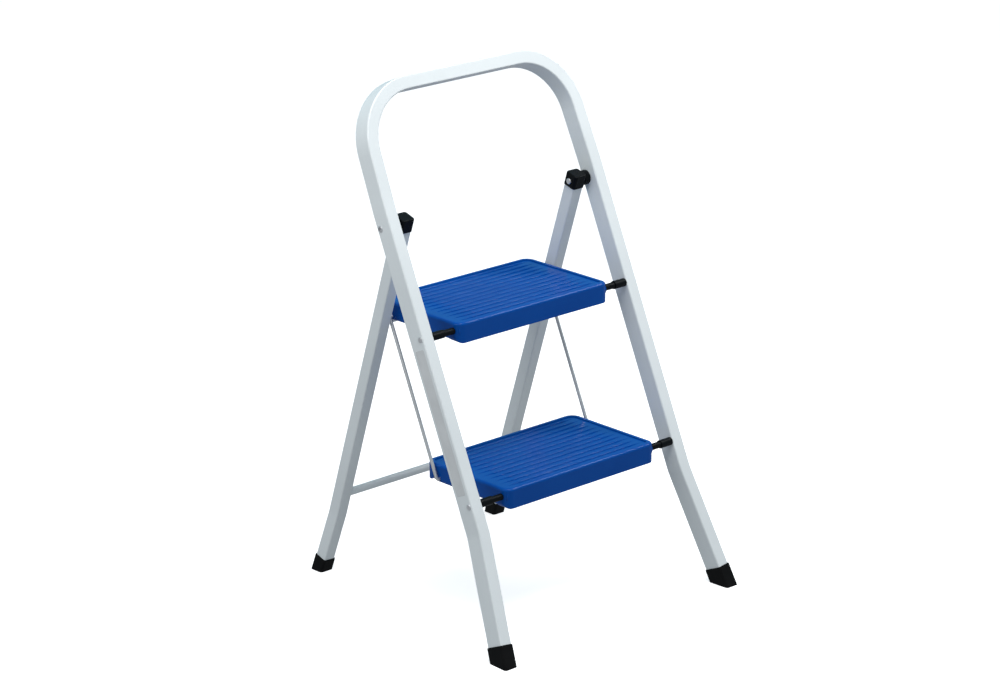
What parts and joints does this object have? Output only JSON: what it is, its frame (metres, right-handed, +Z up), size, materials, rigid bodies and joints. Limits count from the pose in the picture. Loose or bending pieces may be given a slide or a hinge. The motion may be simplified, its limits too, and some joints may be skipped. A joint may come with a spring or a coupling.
{
  "type": "folding step stool",
  "caption": "Folding household step stool: white tube frame with a rounded hand hoop, blue ribbed plastic steps, hinged rear frame and black feet.",
  "frame": {"origin": "on the floor, under the middle of the opened stool's box", "axes": "+X across the stool, +Y to the rear, towards the hinged rear frame, +Z up"},
  "size_m": [0.469, 0.4814, 0.7691],
  "materials": {
    "white_frame": "white powder coat, soft gloss with a fine orange-peel texture",
    "blue_plastic": "glossy moulded polypropylene, ribbed tread",
    "black_plastic": "satin moulded nylon",
    "black_rubber": "matt moulded rubber",
    "bright_steel": "bright zinc-plated steel",
    "link_steel": "drawn, zinc-plated round wire"
  },
  "bodies": {
    "front_frame": {"front_frame_tube": "white_frame", "front_foot_left": "black_rubber", "front_foot_right": "black_rubber", "leg_pivot_rivet_left": "bright_steel", "leg_pivot_rivet_right": "bright_steel", "leg_pivot_spacer_left": "black_plastic", "leg_pivot_spacer_right": "black_plastic", "upper_step_pivot_rod": "bright_steel", "lower_step_pivot_rod": "bright_steel", "upper_step_sleeve_left": "black_plastic", "upper_step_sleeve_right": "black_plastic", "lower_step_sleeve_left": "black_plastic", "lower_step_sleeve_right": "black_plastic"},
    "rear_frame": {"rear_leg_left": "white_frame", "rear_leg_right": "white_frame", "rear_crossbar": "white_frame", "step_support_bar": "white_frame", "rear_leg_cap_left": "black_plastic", "rear_leg_cap_right": "black_plastic", "rear_foot_left": "black_rubber", "rear_foot_right": "black_rubber"},
    "upper_step": {"upper_step_tray": "blue_plastic"},
    "lower_step": {"lower_step_tray": "blue_plastic"},
    "left_link": {"link_rod_left": "link_steel", "link_rod_clips_left": "bright_steel"},
    "right_link": {"link_rod_right": "link_steel", "link_rod_clips_right": "bright_steel"}
  },
  "joints": [
    {"name": "upper_step_fold", "type": "hinge", "parent": "front_frame", "child": "upper_step", "pos_m": [0, -0.03988, 0.43211], "axis": [1, 0, 0], "range_deg": [0, 66]},
    {"name": "lower_step_fold", "type": "hinge", "parent": "front_frame", "child": "lower_step", "pos_m": [0, -0.13892, 0.20966], "axis": [1, 0, 0], "range_deg": [0, 66]},
    {"name": "rear_frame_fold", "type": "hinge", "parent": "front_frame", "child": "rear_frame", "pos_m": [0, 0.04231, 0.57614], "axis": [-1, 0, 0], "range_deg": [0, 40]},
    {"name": "left_link_turn", "type": "hinge", "parent": "upper_step", "child": "left_link", "pos_m": [-0.1525, 0.09162, 0.42291], "axis": [1, 0, 0], "range_deg": [-66, 0]},
    {"name": "right_link_turn", "type": "hinge", "parent": "upper_step", "child": "right_link", "pos_m": [0.1525, 0.09162, 0.42291], "axis": [1, 0, 0], "range_deg": [-66, 0]}
  ],
  "couplings": [
    {"joint": "lower_step_fold", "follows": "upper_step_fold", "ratio": 1},
    {"joint": "rear_frame_fold", "follows": "upper_step_fold", "ratio": 0.60606},
    {"joint": "left_link_turn", "follows": "upper_step_fold", "ratio": -1},
    {"joint": "right_link_turn", "follows": "upper_step_fold", "ratio": -1}
  ]
}
